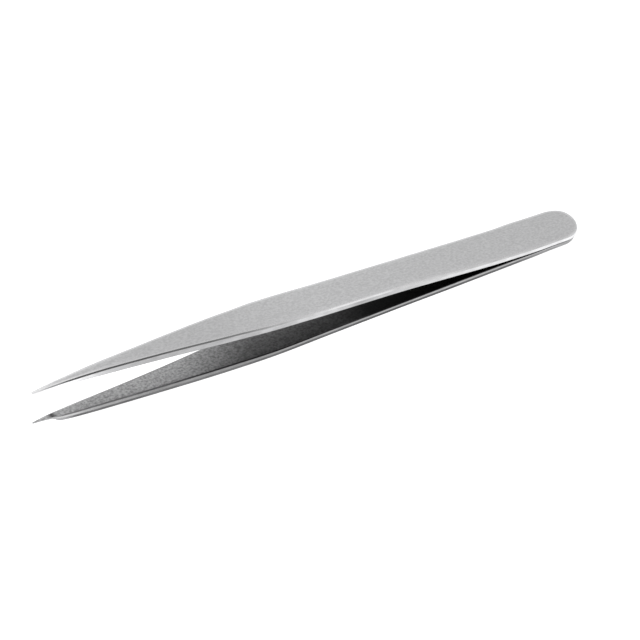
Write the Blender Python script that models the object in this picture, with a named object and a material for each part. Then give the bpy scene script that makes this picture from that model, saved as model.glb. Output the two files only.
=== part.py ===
"""Precision tweezers: two mirrored spring-steel arms, spot-welded together at a closed heel.

The long axis is X, with the heel at +X and the tips at -X. Z is up. The tweezers lie on their lower
arm: the heel end and the flat under the belly of the lower arm touch the plane Z = 0. Each arm
bends where its spring root meets the welded heel, so it is made as a heel plate and an arm whose
origin is on the bending line.
"""
import math

import bmesh
import bpy
import numpy as np
from mathutils import Vector

MM = 0.001

# Driving dimensions, in millimetres
LENGTH = 120.0          # from the heel end to the tips
NOSE_LENGTH = 5.0       # from the heel end to the full width of the rounded nose
NOSE_POWER = 2.7        # squareness of the nose; 2 is an ellipse
RIM_CHAMFER = 0.22      # along the rim of each outer face
HEEL_SEAM = 0.30        # clearance between the two heel plates
FLEX_STATION = 23.0     # where each arm bends, from the heel end
FLEX_GAP = 0.30         # clearance between a heel plate and its arm
REST_SLOPE = 0.0360     # slope of the resting line, from the heel end to the belly of an arm

WELD_STATIONS = {"rear_weld": 4.6, "front_weld": 9.0}
WELD_RADIUS = 0.95
WELD_HALF_HEIGHT = 0.25
WELD_CLEARANCE = 0.30

# One arm: distance from the heel end, half width, half gap between the arms, thickness
STATIONS = (
    (0.0, 4.62, 0.00, 0.90),
    (8.0, 4.72, 0.00, 0.90),
    (14.0, 4.84, 0.08, 0.92),
    (22.0, 4.78, 0.29, 0.97),
    (32.0, 4.62, 0.76, 0.99),
    (45.0, 4.43, 1.37, 1.00),
    (60.0, 4.40, 1.88, 1.04),
    (70.0, 4.34, 2.25, 1.14),
    (80.0, 3.77, 2.55, 1.24),
    (92.0, 2.74, 2.90, 1.26),
    (104.0, 1.70, 3.08, 1.23),
    (113.0, 0.90, 3.20, 0.88),
    (120.0, 0.12, 3.13, 0.38),
)

NOSE_STEPS = 9          # outline steps round each quarter of the nose
STATION_STEP = 2.5      # spacing of the cross-sections along an arm
ROUND_STEPS = 28        # sides of a weld nugget

STEEL = {"color": (0.56, 0.56, 0.57, 1.0), "metallic": 1.0, "roughness": 0.38}
WELD_STEEL = {"color": (0.36, 0.35, 0.34, 1.0), "metallic": 1.0, "roughness": 0.55}


def clear_scene():
    for existing in list(bpy.data.objects):
        bpy.data.objects.remove(existing, do_unlink=True)


def make_material(name, look):
    material = bpy.data.materials.new(name)
    material.use_nodes = True
    shader = material.node_tree.nodes["Principled BSDF"]
    shader.inputs["Base Color"].default_value = look["color"]
    shader.inputs["Metallic"].default_value = look["metallic"]
    shader.inputs["Roughness"].default_value = look["roughness"]
    return material


def smooth_curve(column, at):
    """Smooth curve through one column of STATIONS, without overshoot between them."""
    x = np.array([row[0] for row in STATIONS])
    y = np.array([row[column] for row in STATIONS])
    secant = np.diff(y) / np.diff(x)
    slope = np.concatenate([secant[:1], np.zeros(len(x) - 2), secant[-1:]])
    before, after = secant[:-1], secant[1:]
    same_way = before * after > 0
    slope[1:-1][same_way] = 2.0 * (before * after)[same_way] / (before + after)[same_way]
    i = np.clip(np.searchsorted(x, at) - 1, 0, len(x) - 2)
    step = x[i + 1] - x[i]
    u = (at - x[i]) / step
    rise = (3.0 - 2.0 * u) * u * u
    lead_in = (1.0 - u) ** 2 * u * step * slope[i]
    lead_out = (u - 1.0) * u * u * step * slope[i + 1]
    return y[i] + (y[i + 1] - y[i]) * rise + lead_in + lead_out


def half_width(at):
    """Half width of an arm, with a rounded, slightly square nose at the heel end."""
    short = np.clip(1.0 - at / NOSE_LENGTH, 0.0, 1.0)
    return smooth_curve(1, at) * (1.0 - short**NOSE_POWER) ** (1.0 / NOSE_POWER)


def inner_height(at):
    """Height of an arm's inner face above the plane between the arms."""
    return np.maximum(smooth_curve(2, at), HEEL_SEAM / 2.0)


def outer_height(at):
    """Height of an arm's outer face, ground flat where it would pass the resting line."""
    heel_height = STATIONS[0][2] + STATIONS[0][3]
    return np.minimum(smooth_curve(2, at) + smooth_curve(3, at), heel_height + REST_SLOPE * at)


def section_stations(start, end):
    """Distances of the cross-sections, closer together round the nose."""
    stations = []
    if start == 0.0:
        stations.extend(NOSE_LENGTH * np.linspace(0.0, 1.0, NOSE_STEPS + 1) ** 2.6)
        start = NOSE_LENGTH + STATION_STEP
    count = max(1, round((end - start) / STATION_STEP))
    stations.extend(np.linspace(start, end, count + 1))
    return np.array(stations)


def section_corners(stations):
    """Six corners of every cross-section: inner, rim and outer points on both edges."""
    width = half_width(stations)
    run = np.gradient(stations)
    spread = np.gradient(width)
    if stations[0] == 0.0:
        run[0] = 0.0
    length = np.hypot(run, spread)
    chamfer = np.minimum(RIM_CHAMFER, width * 0.5)
    if stations[0] == 0.0:
        chamfer[0] = RIM_CHAMFER
    face_station = stations + chamfer * spread / length
    face_width = np.maximum(width - chamfer * run / length, 0.0)
    top = outer_height(face_station)
    inner = inner_height(stations)
    rim = outer_height(stations) - chamfer
    corners = []
    for i in range(len(stations)):
        left = (
            (stations[i], -width[i], inner[i]),
            (stations[i], -width[i], rim[i]),
            (face_station[i], -face_width[i], top[i]),
        )
        right = tuple((s, -y, z) for s, y, z in reversed(left))
        corners.append(left + right)
    return corners


def to_frame(corner, side, origin):
    """Millimetres along an arm to metres in the tweezers' frame, measured from an origin."""
    station, across, height = corner
    point = Vector((LENGTH / 2.0 - station, across, side * height)) * MM
    return point - origin


def make_strip(name, start, end, side, origin, material):
    """Part of an arm as one closed solid; side is 1 for the upper arm and -1 for the lower."""
    bm = bmesh.new()
    rows = []
    for corners in section_corners(section_stations(start, end)):
        points = [to_frame(corner, side, origin) for corner in corners]
        if corners[0][1] == 0.0:
            pole = [bm.verts.new(point) for point in points[:3]]
            rows.append(pole + pole[::-1])
        else:
            rows.append([bm.verts.new(point) for point in points])
    for near, far in zip(rows, rows[1:]):
        for k in range(len(near)):
            following = (k + 1) % len(near)
            ring = (near[k], near[following], far[following], far[k])
            bm.faces.new(list(dict.fromkeys(ring)))
    for row in (rows[0], rows[-1]):
        if len(set(row)) == len(row):
            bm.faces.new(row)
    bmesh.ops.recalc_face_normals(bm, faces=bm.faces)
    mesh = bpy.data.meshes.new(name)
    bm.to_mesh(mesh)
    bm.free()
    mesh.materials.append(material)
    strip = bpy.data.objects.new(name, mesh)
    bpy.context.collection.objects.link(strip)
    return strip


def make_disc(name, station, radius, half_height):
    """Short upright cylinder centred on the plane between the arms."""
    bm = bmesh.new()
    bmesh.ops.create_cone(
        bm,
        cap_ends=True,
        segments=ROUND_STEPS,
        radius1=radius * MM,
        radius2=radius * MM,
        depth=2.0 * half_height * MM,
    )
    mesh = bpy.data.meshes.new(name)
    bm.to_mesh(mesh)
    bm.free()
    disc = bpy.data.objects.new(name, mesh)
    disc.location.x = (LENGTH / 2.0 - station) * MM
    bpy.context.collection.objects.link(disc)
    return disc


def make_heel_plate(name, side, material):
    """Rear of an arm, with a blind pocket in its seam face round each weld nugget."""
    plate = make_strip(name, 0.0, FLEX_STATION - FLEX_GAP / 2.0, side, Vector(), material)
    for weld_name, station in WELD_STATIONS.items():
        pocket = make_disc(
            f"{name}_{weld_name}_pocket",
            station,
            WELD_RADIUS + WELD_CLEARANCE,
            WELD_HALF_HEIGHT + WELD_CLEARANCE,
        )
        pocket.hide_render = True
        pocket.display_type = "WIRE"
        pocket.parent = plate
        cut = plate.modifiers.new(f"{weld_name}_pocket", "BOOLEAN")
        cut.operation = "DIFFERENCE"
        cut.solver = "EXACT"
        cut.object = pocket
    return plate


def make_weld(name, station, material):
    """Nugget of fused steel between the heel plates."""
    nugget = make_disc(name, station, WELD_RADIUS, WELD_HALF_HEIGHT)
    nugget.data.shade_smooth()
    nugget.data.set_sharp_from_angle(angle=math.radians(40.0))
    nugget.data.materials.append(material)
    return nugget


def make_pivot(name, side):
    """Empty on the bending line of one arm, halfway through its thickness."""
    station = np.array([FLEX_STATION])
    height = 0.5 * (inner_height(station)[0] + outer_height(station)[0])
    pivot = bpy.data.objects.new(name, None)
    pivot.location = to_frame((FLEX_STATION, 0.0, height), side, Vector())
    bpy.context.collection.objects.link(pivot)
    return pivot


def make_arm(name, side, material):
    """Moving front of an arm, from its spring root to the tip, parented to its pivot."""
    pivot = make_pivot(f"{name}_pivot", side)
    arm = make_strip(name, FLEX_STATION + FLEX_GAP / 2.0, LENGTH, side, pivot.location, material)
    arm.parent = pivot
    return pivot, arm


def lay_down(frame, parts):
    """Tilt the tweezers onto their lower arm, centred over the origin with Z = 0 as the floor."""
    frame.rotation_euler.y = math.atan(REST_SLOPE)
    bpy.context.view_layer.update()
    corners = [part.matrix_world @ vertex.co for part in parts for vertex in part.data.vertices]
    lengthwise = [corner.x for corner in corners]
    frame.location.x = -(min(lengthwise) + max(lengthwise)) / 2.0
    frame.location.z = -min(corner.z for corner in corners)
    bpy.context.view_layer.update()


def build():
    clear_scene()
    steel = {name: make_material(name, STEEL) for name in ("upper_steel", "lower_steel")}
    weld_steel = make_material("weld_steel", WELD_STEEL)
    frame = bpy.data.objects.new("tweezers_frame", None)
    bpy.context.collection.objects.link(frame)
    parts = []
    for prefix, side in (("upper", 1), ("lower", -1)):
        material = steel[f"{prefix}_steel"]
        plate = make_heel_plate(f"{prefix}_heel", side, material)
        pivot, arm = make_arm(f"{prefix}_arm", side, material)
        plate.parent = frame
        pivot.parent = frame
        parts.extend((plate, arm))
    for name, station in WELD_STATIONS.items():
        nugget = make_weld(name, station, weld_steel)
        nugget.parent = frame
        parts.append(nugget)
    lay_down(frame, parts)


build()
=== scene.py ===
"""Precision tweezers: finely meshed spring-steel blades, their finishes, the table and the light.

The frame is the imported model's, in metres: +X towards the welded heel, +Z up. The tables of the
blades' shape are in millimetres.
Each blade is one continuous strip that stands for a heel plate and an arm and bends between them.
"""
import math

import bmesh
import bpy
import numpy as np
from mathutils import Matrix, Vector


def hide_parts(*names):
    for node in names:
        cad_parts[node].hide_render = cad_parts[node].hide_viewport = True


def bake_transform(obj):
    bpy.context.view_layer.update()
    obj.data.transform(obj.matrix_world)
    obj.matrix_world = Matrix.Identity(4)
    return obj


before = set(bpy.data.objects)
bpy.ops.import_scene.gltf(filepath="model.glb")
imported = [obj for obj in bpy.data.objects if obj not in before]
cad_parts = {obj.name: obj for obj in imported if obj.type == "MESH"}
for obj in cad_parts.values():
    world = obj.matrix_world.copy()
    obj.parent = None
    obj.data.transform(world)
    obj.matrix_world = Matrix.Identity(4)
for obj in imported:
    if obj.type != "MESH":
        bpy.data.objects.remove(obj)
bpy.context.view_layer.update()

MM = 0.001

# Shape of the blades, in millimetres; near is the -Y edge and far the +Y edge
LENGTH = 120.0
NOSE_LENGTH = 4.9       # from the heel end to the full width of the rounded nose
NOSE_POWERS = {"upper": (2.4, 2.6), "lower": (2.0, 2.4)}    # squareness: near and far corner
NOSE_SKEW = (0.30, 0.17)    # slope of the askew trim of the nose: near and far half
NOSE_SKEW_BLEND = 1.5   # the two slopes meet over this width each side of the middle
NOSE_TRIM = -0.02       # taken off the nose along its middle; negative adds to it
NOSE_FADE = 12.0        # the askew trim fades out over this length
REST_SLOPE = 0.0360     # slope of the resting line, from the heel end to the belly of an arm
HEEL_THICKNESS = 0.90

# Distance from the heel end, half width, half gap between the arms, thickness
BLADES = {
    "upper": (
        (0.0, 4.62, 0.00, 0.90),
        (8.0, 4.70, 0.00, 0.90),
        (14.0, 4.82, 0.08, 0.92),
        (22.0, 4.78, 0.29, 0.97),
        (32.0, 4.62, 0.76, 0.99),
        (45.0, 4.43, 1.37, 1.00),
        (60.0, 4.40, 1.88, 1.04),
        (70.0, 4.34, 2.31, 1.08),
        (80.0, 3.77, 2.67, 1.27),
        (92.0, 2.72, 3.03, 1.26),
        (104.0, 1.65, 3.22, 1.18),
        (113.0, 0.87, 3.30, 0.82),
        (120.0, 0.26, 3.19, 0.42),
    ),
    "lower": (
        (0.0, 4.48, 0.00, 0.90),
        (8.0, 4.64, 0.00, 0.92),
        (14.0, 4.80, 0.08, 1.00),
        (22.0, 4.78, 0.29, 1.08),
        (32.0, 4.62, 0.76, 1.10),
        (45.0, 4.43, 1.37, 1.04),
        (60.0, 4.40, 1.88, 1.09),
        (70.0, 4.34, 2.31, 1.11),
        (80.0, 3.84, 2.51, 1.24),
        (92.0, 2.86, 2.79, 1.26),
        (104.0, 1.87, 2.93, 1.25),
        (112.0, 1.24, 2.96, 1.14),
        (114.8, 0.95, 2.93, 1.02),
        (116.2, 0.72, 2.90, 0.32),
        (120.0, 0.12, 3.04, 0.20),
    ),
}

# Edges of the blades, in millimetres
CROWN_INSET = 1.40      # where the outer face starts to round off
SHOULDER_INSET = 0.65   # where it rounds off more, towards its rim
SHOULDER_DROP = 0.03    # from the outer face down to the rim's inner edge
RIM_INSET = {"upper": 0.32, "lower": 0.12}
RIM_DROP = {"upper": 0.19, "lower": 0.62}
BROKEN_INSET = {"upper": (0.10, 0.10), "lower": (0.12, 0.40)}    # of the shank and of the taper
BROKEN_DROP = {"upper": 0.10, "lower": 0.08}
TAPER_START, TAPER_END = 55.0, 82.0     # the broken edge changes size between these stations
# Where a blade is narrow or thin, its edges shrink to these shares of its half width and thickness
CROWN_SHARE, SHOULDER_SHARE, RIM_SHARE, BROKEN_SHARE = 0.70, 0.50, 0.30, 0.30
DROP_SHARE = 0.70
CROWN_DROP_SHARE = 0.3  # of the shoulder's drop, reached where the crown ends

# Share by which a blade is wider on its far side, at distances from the heel end
FAR_SIDE = {
    "upper": (
        (0.0, 0.090), (11.0, 0.090), (16.5, 0.034), (46.0, 0.045), (57.0, 0.058), (65.0, 0.086),
        (71.0, 0.080), (77.0, 0.020), (87.0, 0.006), (96.0, -0.026), (102.0, -0.013),
        (112.0, 0.110), (120.0, 0.400),
    ),
    "lower": (
        (0.0, 0.050), (9.0, 0.050), (20.0, 0.035), (60.0, 0.030), (72.0, 0.000), (96.0, -0.050),
        (114.0, 0.000), (120.0, 0.000),
    ),
}
HALF_SEAM = 0.012       # half of the hairline between the welded heels
POINT_ROUND = 0.25      # length over which the very tip is rounded

# Mesh density
NOSE_STEPS = 28
NOSE_CROWDING = 2.6     # power that crowds the nose's cross-sections towards the heel end
POINT_STEPS = (0.45, 0.75, 0.92)    # cross-sections of the rounded point, as shares of its length
STATION_STEP = 0.5
FACE_SPANS = 8          # across the outer face and across the inner face
SIDE_SPANS = 3
SHARP_ANGLE = math.radians(30.0)
MERGE_DISTANCE, DEGENERATE_LENGTH = 1e-7, 1e-8      # in metres

# Camera, fitted to the photographed view; degrees, metres, and millimetres for lens and sensor
CAMERA_AZIMUTH = -32.98
CAMERA_ELEVATION = 35.80
CAMERA_DISTANCE = 0.600
CAMERA_LENS = 181.5
CAMERA_SENSOR = 36.0
CAMERA_CLIP_START = 0.01
CAMERA_SHIFT = (0.0073, -0.0134)

FINISHES = ("outer", "crown", "shoulder", "far_edge", "rim", "side", "broken", "inner")
# Finishes that differ on the far edge of a blade: a lighter painted sheen there, in place of the
# near edge's painted reflections and painted shade
FAR_FINISHES = {"shoulder": "far_edge", "rim": "far_edge", "broken": "side"}


# ---------------------------------------------------------------- shape of a blade

def smooth_curve(table, column, at):
    """Smooth curve through one column of a table of stations, without overshoot between them."""
    x = np.array([row[0] for row in table])
    y = np.array([row[column] for row in table])
    secant = np.diff(y) / np.diff(x)
    slope = np.concatenate([secant[:1], np.zeros(len(x) - 2), secant[-1:]])
    before, after = secant[:-1], secant[1:]
    same_way = before * after > 0
    slope[1:-1][same_way] = 2.0 * (before * after)[same_way] / (before + after)[same_way]
    i = np.clip(np.searchsorted(x, at) - 1, 0, len(x) - 2)
    step = x[i + 1] - x[i]
    u = (at - x[i]) / step
    rise = (3.0 - 2.0 * u) * u * u
    lead_in = (1.0 - u) ** 2 * u * step * slope[i]
    lead_out = (u - 1.0) * u * u * step * slope[i + 1]
    return y[i] + (y[i + 1] - y[i]) * rise + lead_in + lead_out


def rounded_end(distance, reach, power=2.0):
    """Share of the full size at a distance from a round end, along a (super)ellipse."""
    short = np.clip(1.0 - distance / reach, 0.0, 1.0)
    return (1.0 - short**power) ** (1.0 / power)


def blade_stations():
    """Distances of the cross-sections, closer together round the nose and at the point."""
    nose = NOSE_LENGTH * np.linspace(0.0, 1.0, NOSE_STEPS + 1) ** NOSE_CROWDING
    point_start = LENGTH - POINT_ROUND
    count = round((point_start - NOSE_LENGTH) / STATION_STEP)
    straight = np.linspace(NOSE_LENGTH, point_start, count + 1)[1:]
    point = point_start + POINT_ROUND * np.array(POINT_STEPS)
    return np.concatenate([nose, straight, point])


def edge_profile(prefix, at, top, bottom, room):
    """Rows of (inset from the outline, height, finish of the span below) down one edge."""
    drops = RIM_DROP[prefix] + BROKEN_DROP[prefix]
    depth = np.minimum(1.0, DROP_SHARE * (top - bottom) / drops)
    shoulder_drop = SHOULDER_DROP * depth
    rim = np.minimum(RIM_INSET[prefix], RIM_SHARE * room)
    shoulder = np.minimum(SHOULDER_INSET, SHOULDER_SHARE * room)
    crown = np.minimum(CROWN_INSET, CROWN_SHARE * room)
    broken = np.interp(at, (TAPER_START, TAPER_END), BROKEN_INSET[prefix])
    broken = np.minimum(broken, BROKEN_SHARE * room)
    side_top = top - RIM_DROP[prefix] * depth
    side_bottom = bottom + BROKEN_DROP[prefix] * depth
    flush = np.zeros_like(at)
    rows = [
        (crown, top, "crown"),
        (shoulder, top - CROWN_DROP_SHARE * shoulder_drop, "shoulder"),
        (rim, top - shoulder_drop, "rim"),
    ]
    for k in range(SIDE_SPANS):
        rows.append((flush, side_top + (side_bottom - side_top) * k / SIDE_SPANS, "side"))
    rows.append((flush, side_bottom, "broken"))
    rows.append((broken, bottom, "inner"))
    return rows


def edge_line(at, width, rows, side):
    """Corners down one edge of every cross-section; side is -1 for the near edge, 1 for the far."""
    run = np.gradient(at)
    spread = np.gradient(width)
    run[0] = 0.0
    length = np.hypot(run, spread)
    out_station, out_across = -spread / length, run / length
    corners = []
    for inset, height, _ in rows:
        across = np.maximum(width - inset * out_across, 0.0)
        corners.append(np.array([at - inset * out_station, side * across, height]))
    return corners


def between(start, end):
    """Points across a face, without its ends."""
    shares = np.linspace(0.0, 1.0, FACE_SPANS + 1)[1:-1]
    return [start + share * (end - start) for share in shares]


def blade_grid(prefix):
    """Corners (station, across, height) of every cross-section, and the finish of each span."""
    table = BLADES[prefix]
    at = blade_stations()
    point = rounded_end(LENGTH - at, POINT_ROUND)
    width = smooth_curve(table, 1, at) * point
    bottom = np.maximum(smooth_curve(table, 2, at), HALF_SEAM)
    top = smooth_curve(table, 2, at) + smooth_curve(table, 3, at)
    if prefix == "lower":
        top = np.minimum(top, HEEL_THICKNESS + REST_SLOPE * at)
    middle = 0.5 * (top + bottom)
    top = middle + (top - middle) * point
    bottom = middle + (bottom - middle) * point

    rows = edge_profile(prefix, at, top, bottom, width)
    near_power, far_power = NOSE_POWERS[prefix]
    near = edge_line(at, width * rounded_end(at, NOSE_LENGTH, near_power), rows, -1.0)
    far = edge_line(at, width * rounded_end(at, NOSE_LENGTH, far_power), rows, 1.0)
    ring = [near[0], *between(near[0], far[0]), *far]
    ring += [*between(far[-1], near[-1]), *near[:0:-1]]
    near_finishes = [finish for _, _, finish in rows[:-1]]
    far_finishes = [FAR_FINISHES.get(finish, finish) for finish in near_finishes]
    finishes = ["outer"] * FACE_SPANS + far_finishes
    finishes += ["inner"] * FACE_SPANS + near_finishes[::-1]

    grid = np.array(ring).transpose(2, 0, 1)
    far_side = smooth_curve(FAR_SIDE[prefix], 1, grid[..., 0])
    grid[..., 1] += np.maximum(grid[..., 1], 0.0) * far_side
    fade = np.clip(1.0 - grid[..., 0] / NOSE_FADE, 0.0, 1.0) ** 2
    skew = np.interp(grid[..., 1], (-NOSE_SKEW_BLEND, NOSE_SKEW_BLEND), NOSE_SKEW)
    grid[..., 0] += (NOSE_TRIM - skew * grid[..., 1]) * fade
    return grid, finishes


def to_frame(points, side):
    """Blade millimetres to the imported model's frame, tilted onto the lower arm."""
    local = np.empty_like(points)
    local[..., 0] = LENGTH / 2.0 - points[..., 0]
    local[..., 1] = points[..., 1]
    local[..., 2] = points[..., 2] * side
    tilt = np.array(Matrix.Rotation(math.atan(REST_SLOPE), 3, "Y"))
    return local @ tilt.T * MM


def seat(points_by_blade):
    """Shift that stands the tweezers on Z = 0, centred lengthwise over the origin."""
    every = np.concatenate([points.reshape(-1, 3) for points in points_by_blade])
    low, high = every.min(0), every.max(0)
    return np.array([-(low[0] + high[0]) / 2.0, 0.0, -low[2]])


def make_blade(name, points, finishes, materials):
    """Closed strip skinned over the cross-sections, one material for each finish."""
    rows, columns = points.shape[:2]
    vertices = points.reshape(-1, 3)
    faces, slots = [], []
    for i in range(rows - 1):
        for k in range(columns):
            following = (k + 1) % columns
            corners = [
                i * columns + k,
                i * columns + following,
                (i + 1) * columns + following,
                (i + 1) * columns + k,
            ]
            faces.append(corners)
            slots.append(FINISHES.index(finishes[k]))
    faces.append([(rows - 1) * columns + k for k in range(columns)])
    slots.append(FINISHES.index("side"))
    mesh = bpy.data.meshes.new(name)
    mesh.from_pydata(vertices.tolist(), [], faces)
    for finish in FINISHES:
        mesh.materials.append(materials[finish])
    mesh.polygons.foreach_set("material_index", slots)
    blade = bpy.data.objects.new(name, mesh)
    bpy.context.collection.objects.link(blade)
    tidy_mesh(mesh)
    return blade


def tidy_mesh(mesh):
    """Welds the pole of the nose, points the faces outwards and marks the sharp edges."""
    bm = bmesh.new()
    bm.from_mesh(mesh)
    bmesh.ops.remove_doubles(bm, verts=bm.verts, dist=MERGE_DISTANCE)
    bmesh.ops.dissolve_degenerate(bm, edges=bm.edges, dist=DEGENERATE_LENGTH)
    bmesh.ops.recalc_face_normals(bm, faces=bm.faces)
    bm.to_mesh(mesh)
    bm.free()
    mesh.shade_smooth()
    mesh.set_sharp_from_angle(angle=SHARP_ANGLE)


# ---------------------------------------------------------------- finishes

MOTTLE_DETAIL, GRAIN_DETAIL = 4.0, 3.0
MOTTLE_RANGE = (0.36, 0.64)     # noise values that are spread over the whole contrast
GRAIN_RANGE = (0.30, 0.70)      # noise values that are spread over the whole roughness range
NOISE_ROUGHNESS = 0.55
RELIEF_STRENGTH = 0.6
COOL_TINT = 1.01                # greys are very slightly blue


def new_material(name):
    """New Principled material, with its nodes and links."""
    material = bpy.data.materials.new(name)
    material.use_nodes = True
    return material, material.node_tree.nodes, material.node_tree.links


def noise(nodes, links, scale, detail, stretch=(1.0, 1.0, 1.0)):
    """Noise in the object's own coordinates; scale counts features in a metre."""
    coordinates = nodes.new("ShaderNodeTexCoord")
    mapping = nodes.new("ShaderNodeMapping")
    mapping.inputs["Scale"].default_value = stretch
    texture = nodes.new("ShaderNodeTexNoise")
    texture.inputs["Scale"].default_value = scale
    texture.inputs["Detail"].default_value = detail
    texture.inputs["Roughness"].default_value = NOISE_ROUGHNESS
    links.new(coordinates.outputs["Object"], mapping.inputs["Vector"])
    links.new(mapping.outputs["Vector"], texture.inputs["Vector"])
    return texture.outputs["Fac"]


def ramp(nodes, links, source, low, high, low_value, high_value):
    """Linear map of a texture value to a range, clamped."""
    node = nodes.new("ShaderNodeMapRange")
    node.inputs["From Min"].default_value = low
    node.inputs["From Max"].default_value = high
    node.inputs["To Min"].default_value = low_value
    node.inputs["To Max"].default_value = high_value
    links.new(source, node.inputs["Value"])
    return node.outputs["Result"]


def shade(nodes, links, share, dark, light):
    """Mix of two nearly neutral greys by a texture value."""
    mix = nodes.new("ShaderNodeMix")
    mix.data_type = "RGBA"
    mix.inputs["A"].default_value = (dark, dark, dark * COOL_TINT, 1.0)
    mix.inputs["B"].default_value = (light, light, light * COOL_TINT, 1.0)
    links.new(share, mix.inputs["Factor"])
    return mix.outputs["Result"]


def along(nodes, links, greys_and_painted_light):
    """Grey that changes along the blade, given as (distance from the heel end in mm, grey) pairs;
    on the blades these greys are painted reflections, painted highlights and painted shade.
    """
    coordinates = nodes.new("ShaderNodeTexCoord")
    axes = nodes.new("ShaderNodeSeparateXYZ")
    links.new(coordinates.outputs["Object"], axes.inputs["Vector"])
    half = 0.5 * LENGTH * MM
    share = ramp(nodes, links, axes.outputs["X"], half, -half, 0.0, 1.0)
    colours = nodes.new("ShaderNodeValToRGB")
    elements = colours.color_ramp.elements
    while len(elements) < len(greys_and_painted_light):
        elements.new(0.5)
    for element, (station, grey) in zip(elements, sorted(greys_and_painted_light)):
        element.position = station / LENGTH
        element.color = (grey, grey, grey, 1.0)
    links.new(share, colours.inputs["Fac"])
    return colours.outputs["Color"]


def multiply(nodes, links, colour, factor):
    """Product of two colours."""
    mix = nodes.new("ShaderNodeMix")
    mix.data_type = "RGBA"
    mix.blend_type = "MULTIPLY"
    mix.inputs["Factor"].default_value = 1.0
    links.new(colour, mix.inputs["A"])
    links.new(factor, mix.inputs["B"])
    return mix.outputs["Result"]


def bump(nodes, links, height, distance):
    """Normal with the relief of a texture value; distance is the relief's height in metres."""
    node = nodes.new("ShaderNodeBump")
    node.inputs["Distance"].default_value = distance
    node.inputs["Strength"].default_value = RELIEF_STRENGTH
    links.new(height, node.inputs["Height"])
    return node.outputs["Normal"]


def steel(name, look):
    """Bare steel: a grey that changes along the blade (on the blades, painted reflections,
    highlights and shade), a soft mottle, and relief from a grain.
    """
    material, nodes, links = new_material(name)
    shader = nodes["Principled BSDF"]
    shader.inputs["Metallic"].default_value = 1.0
    mottle = noise(nodes, links, look["mottle"], MOTTLE_DETAIL, look["stretch"])
    fine = noise(nodes, links, look["grain"], GRAIN_DETAIL, look["stretch"])
    spread = ramp(nodes, links, mottle, *MOTTLE_RANGE, 0.0, 1.0)
    patches = shade(nodes, links, spread, 1.0 - look["contrast"], 1.0 + look["contrast"])
    # the grey along the blade is painted light: painted reflections, highlights and shade
    tone = along(nodes, links, look["greys_and_painted_light"])
    links.new(multiply(nodes, links, tone, patches), shader.inputs["Base Color"])
    rough = ramp(nodes, links, fine, *GRAIN_RANGE, *look["roughness"])
    links.new(rough, shader.inputs["Roughness"])
    links.new(bump(nodes, links, fine, look["relief"]), shader.inputs["Normal"])
    return material
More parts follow.
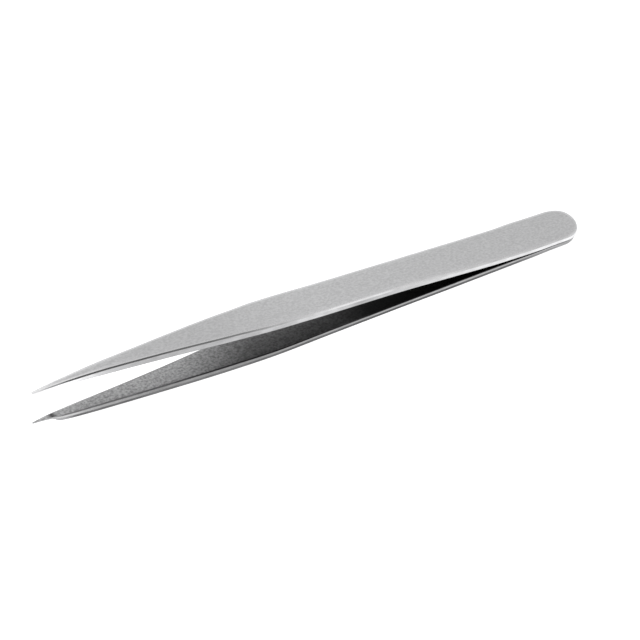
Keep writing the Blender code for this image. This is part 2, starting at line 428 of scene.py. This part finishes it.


# Greys are linear reflectances at distances from the heel end in millimetres, on the blades painted
# reflections, highlights and shade; mottle and grain count features in a metre, relief is in metres
LOOKS = {
    # outer face: greys are its painted reflection, with a painted highlight towards the point
    "outer": {
        "greys_and_painted_light": (
            (4.0, 0.465), (28.0, 0.475), (45.0, 0.49), (62.0, 0.50), (76.0, 0.48), (84.0, 0.455),
            (98.0, 0.46), (112.0, 0.50), (115.5, 0.60), (118.5, 0.86),
        ),
        "mottle": 2600.0, "grain": 9000.0, "stretch": (0.75, 1.0, 1.0),
        "contrast": 0.11, "roughness": (0.34, 0.42), "relief": 0.000003,
    },
    # crown: greys are painted reflection, with a painted highlight towards the point
    "crown": {
        "greys_and_painted_light": (
            (4.0, 0.465), (14.0, 0.47), (28.0, 0.49), (45.0, 0.51), (62.0, 0.51), (76.0, 0.48),
            (84.0, 0.455), (98.0, 0.47), (109.0, 0.56), (117.0, 0.72),
        ),
        "mottle": 2600.0, "grain": 9000.0, "stretch": (0.75, 1.0, 1.0),
        "contrast": 0.10, "roughness": (0.32, 0.40), "relief": 0.000003,
    },
    # shoulder: painted sheen, a lighter band along the edge of the outer face, brightest at the
    # point
    "shoulder": {
        "greys_and_painted_light": (
            (5.0, 0.48), (16.0, 0.49), (28.0, 0.52), (42.0, 0.56), (60.0, 0.54), (76.0, 0.50),
            (85.0, 0.50), (104.0, 0.54), (111.0, 0.72), (119.0, 0.80),
        ),
        "mottle": 900.0, "grain": 9000.0, "stretch": (0.4, 1.0, 1.0),
        "contrast": 0.05, "roughness": (0.25, 0.33), "relief": 0.000002,
    },
    # far edge: painted sheen, the far rim and shoulder lighter than the near ones
    "far_edge": {
        "greys_and_painted_light": (
            (3.0, 0.58), (30.0, 0.62), (70.0, 0.62), (90.0, 0.60), (108.0, 0.64), (117.0, 0.85),
        ),
        "mottle": 900.0, "grain": 9000.0, "stretch": (0.4, 1.0, 1.0),
        "contrast": 0.05, "roughness": (0.25, 0.33), "relief": 0.000002,
    },
    # upper rim: painted reflection, bright over the shank and dark towards the point, with a
    # painted highlight at the point
    "upper_rim": {
        "greys_and_painted_light": (
            (5.0, 0.52), (16.0, 0.48), (30.0, 0.52), (44.0, 0.58), (53.0, 0.76), (62.0, 0.62),
            (70.0, 0.40), (78.0, 0.20), (90.0, 0.13), (104.0, 0.09), (112.5, 0.12), (116.0, 0.30),
            (118.3, 0.75),
        ),
        "mottle": 900.0, "grain": 6000.0, "stretch": (0.3, 1.0, 1.0),
        "contrast": 0.12, "roughness": (0.14, 0.22), "relief": 0.000001,
    },
    # lower rim: painted shade, the down-facing rim dark as if reflecting the shadow under the
    # tweezers
    "lower_rim": {
        "greys_and_painted_light": (
            (3.0, 0.33), (10.0, 0.26), (17.0, 0.12), (45.0, 0.10), (66.0, 0.12), (78.0, 0.16),
            (90.0, 0.17), (101.0, 0.14), (112.0, 0.14), (114.0, 0.35), (119.0, 0.40),
        ),
        "mottle": 900.0, "grain": 6000.0, "stretch": (0.3, 1.0, 1.0),
        "contrast": 0.15, "roughness": (0.20, 0.30), "relief": 0.000001,
    },
    # upper side: painted reflection, light towards the heel, with a painted highlight at the point
    "upper_side": {
        "greys_and_painted_light": (
            (8.0, 0.70), (17.0, 0.67), (28.0, 0.61), (42.0, 0.50), (53.0, 0.38), (62.0, 0.54),
            (70.0, 0.46), (84.0, 0.38), (99.0, 0.39), (107.0, 0.52), (112.0, 0.85),
        ),
        "mottle": 1100.0, "grain": 9000.0, "stretch": (0.35, 1.0, 1.0),
        "contrast": 0.10, "roughness": (0.24, 0.34), "relief": 0.000002,
    },
    # lower side: painted shade, darker as if reflecting the shaded table beside it
    "lower_side": {
        "greys_and_painted_light": (
            (4.0, 0.30), (9.0, 0.38), (34.0, 0.38), (60.0, 0.33), (78.0, 0.27), (96.0, 0.25),
            (105.0, 0.33), (112.0, 0.46), (116.0, 0.52),
        ),
        "mottle": 1100.0, "grain": 9000.0, "stretch": (0.35, 1.0, 1.0),
        "contrast": 0.12, "roughness": (0.24, 0.34), "relief": 0.000002,
    },
    # broken edges: painted shade, near black towards the heel where the arms close, lighter towards
    # the point
    "broken": {
        "greys_and_painted_light": (
            (5.0, 0.05), (48.0, 0.05), (60.0, 0.08), (72.0, 0.11), (87.0, 0.12), (94.0, 0.22),
            (108.0, 0.18), (113.0, 0.22), (117.0, 0.40),
        ),
        "mottle": 1500.0, "grain": 8000.0, "stretch": (0.5, 1.0, 1.0),
        "contrast": 0.20, "roughness": (0.30, 0.42), "relief": 0.000002,
    },
    # inner face: painted shade, darkening towards the heel where the arms close over it, and a
    # painted shadow of the step near the point at 115.2 to 116.4 mm
    "inner": {
        "greys_and_painted_light": (
            (30.0, 0.005), (42.0, 0.009), (50.0, 0.026), (57.0, 0.13), (66.0, 0.155), (75.0, 0.17),
            (84.0, 0.31), (90.0, 0.39), (98.0, 0.39), (106.0, 0.35), (115.2, 0.39), (115.8, 0.11),
            (116.4, 0.09), (117.0, 0.42),
        ),
        "mottle": 2100.0, "grain": 11000.0, "stretch": (1.0, 1.0, 1.0),
        "contrast": 0.32, "roughness": (0.46, 0.62), "relief": 0.000008,
    },
    "weld": {
        "greys_and_painted_light": ((0.0, 0.28), (120.0, 0.28)),
        "mottle": 1500.0, "grain": 8000.0, "stretch": (1.0, 1.0, 1.0),
        "contrast": 0.25, "roughness": (0.50, 0.70), "relief": 0.00001,
    },
}


def blade_finishes(prefix):
    """Satin outer face, polished rim, ground sides and bead-blasted inner face, with painted
    reflections, highlights and shade in their greys.
    """
    finishes = {}
    for finish in FINISHES:
        look = LOOKS.get(f"{prefix}_{finish}") or LOOKS[finish]
        finishes[finish] = steel(f"{prefix}_{finish}_steel", look)
    return finishes


# ---------------------------------------------------------------- table, light and camera

TABLE_HALF = 3.0                # half the length of its side, in metres
TABLE_GREYS = (0.49, 0.51)
TABLE_GRAIN, TABLE_DETAIL = 60.0, 3.0
TABLE_ROUGHNESS = 0.85
TABLE_GLOW = 0.80               # lights the table up to the white of a studio sweep


def make_floor():
    """Plain white table top, evenly lit, which the steel reflects."""
    material, nodes, links = new_material("pale_table")
    shader = nodes["Principled BSDF"]
    grain = noise(nodes, links, TABLE_GRAIN, TABLE_DETAIL)
    links.new(shade(nodes, links, grain, *TABLE_GREYS), shader.inputs["Base Color"])
    shader.inputs["Roughness"].default_value = TABLE_ROUGHNESS
    shader.inputs["Emission Color"].default_value = (1.0, 1.0, 1.0, 1.0)
    shader.inputs["Emission Strength"].default_value = TABLE_GLOW
    mesh = bpy.data.meshes.new("table_top")
    turns = ((-1.0, -1.0), (1.0, -1.0), (1.0, 1.0), (-1.0, 1.0))
    corners = [(x * TABLE_HALF, y * TABLE_HALF, 0.0) for x, y in turns]
    mesh.from_pydata(corners, [], [(0, 1, 2, 3)])
    mesh.materials.append(material)
    floor = bpy.data.objects.new("table_top", mesh)
    bpy.context.collection.objects.link(floor)


def direction(azimuth, elevation):
    """Unit vector; azimuth 0 is -Y and 90 is +X, elevation is above the horizon, in degrees."""
    turn, rise = math.radians(azimuth), math.radians(elevation)
    reach = math.cos(rise)
    return Vector((math.sin(turn) * reach, -math.cos(turn) * reach, math.sin(rise)))


# Soft light and dark flag in the dome: azimuth, elevation, inner and outer half angle, added level
DOME_LOBES = (
    (60.0, 50.0, 10.0, 40.0, 0.12),
    (14.0, 46.0, 8.0, 18.0, -0.30),
)
DOME_LEVEL = 1.0


def make_dome():
    """Even white studio dome with a soft light and a dark flag."""
    world = bpy.data.worlds.new("studio_dome")
    bpy.context.scene.world = world
    world.use_nodes = True
    nodes, links = world.node_tree.nodes, world.node_tree.links
    background = nodes["Background"]
    coordinates = nodes.new("ShaderNodeTexCoord")
    total = None
    for azimuth, elevation, inner, outer, level in DOME_LOBES:
        toward = nodes.new("ShaderNodeVectorMath")
        toward.operation = "DOT_PRODUCT"
        toward.inputs[1].default_value = direction(azimuth, elevation)
        links.new(coordinates.outputs["Generated"], toward.inputs[0])
        lobe = nodes.new("ShaderNodeMapRange")
        lobe.interpolation_type = "SMOOTHSTEP"
        lobe.inputs["From Min"].default_value = math.cos(math.radians(outer))
        lobe.inputs["From Max"].default_value = math.cos(math.radians(inner))
        lobe.inputs["To Min"].default_value = 0.0
        lobe.inputs["To Max"].default_value = level
        links.new(toward.outputs["Value"], lobe.inputs["Value"])
        join = nodes.new("ShaderNodeMath")
        join.operation = "ADD"
        if total is None:
            join.inputs[0].default_value = DOME_LEVEL
        else:
            links.new(total, join.inputs[0])
        links.new(lobe.outputs["Result"], join.inputs[1])
        total = join.outputs["Value"]
    links.new(total, background.inputs["Strength"])
    background.inputs["Color"].default_value = (1.0, 1.0, 1.0, 1.0)


def make_camera(target):
    """Camera at the photographed view, aimed at a point; metres."""
    data = bpy.data.cameras.new("camera")
    data.lens = CAMERA_LENS
    data.sensor_width = CAMERA_SENSOR
    data.shift_x, data.shift_y = CAMERA_SHIFT
    data.clip_start = CAMERA_CLIP_START
    camera = bpy.data.objects.new("camera", data)
    back = direction(CAMERA_AZIMUTH, CAMERA_ELEVATION)
    camera.location = target + back * CAMERA_DISTANCE
    camera.rotation_euler = (-back).to_track_quat("-Z", "Y").to_euler()
    bpy.context.collection.objects.link(camera)
    bpy.context.scene.camera = camera


# ---------------------------------------------------------------- assembly

def bend_with(blade):
    """Bakes the blade's transform into its mesh."""
    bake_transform(blade)


def build():
    """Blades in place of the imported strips, finishes for the welds, then the studio."""
    bpy.context.scene.view_settings.view_transform = "Standard"
    blades = {}
    for prefix, side in (("upper", 1), ("lower", -1)):
        grid, finishes = blade_grid(prefix)
        blades[prefix] = (to_frame(grid, side), finishes)
    shift = seat([points for points, _ in blades.values()])
    for prefix, (points, finishes) in blades.items():
        materials = blade_finishes(prefix)
        blade = make_blade(f"{prefix}_blade", points + shift, finishes, materials)
        bend_with(blade)
        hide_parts(f"{prefix}_heel", f"{prefix}_arm")
    fused = steel("fused_weld_steel", LOOKS["weld"])
    for weld in ("rear_weld", "front_weld"):
        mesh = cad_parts[weld].data
        mesh.materials.clear()
        mesh.materials.append(fused)
    make_floor()
    make_dome()
    make_camera(Vector(shift))


build()
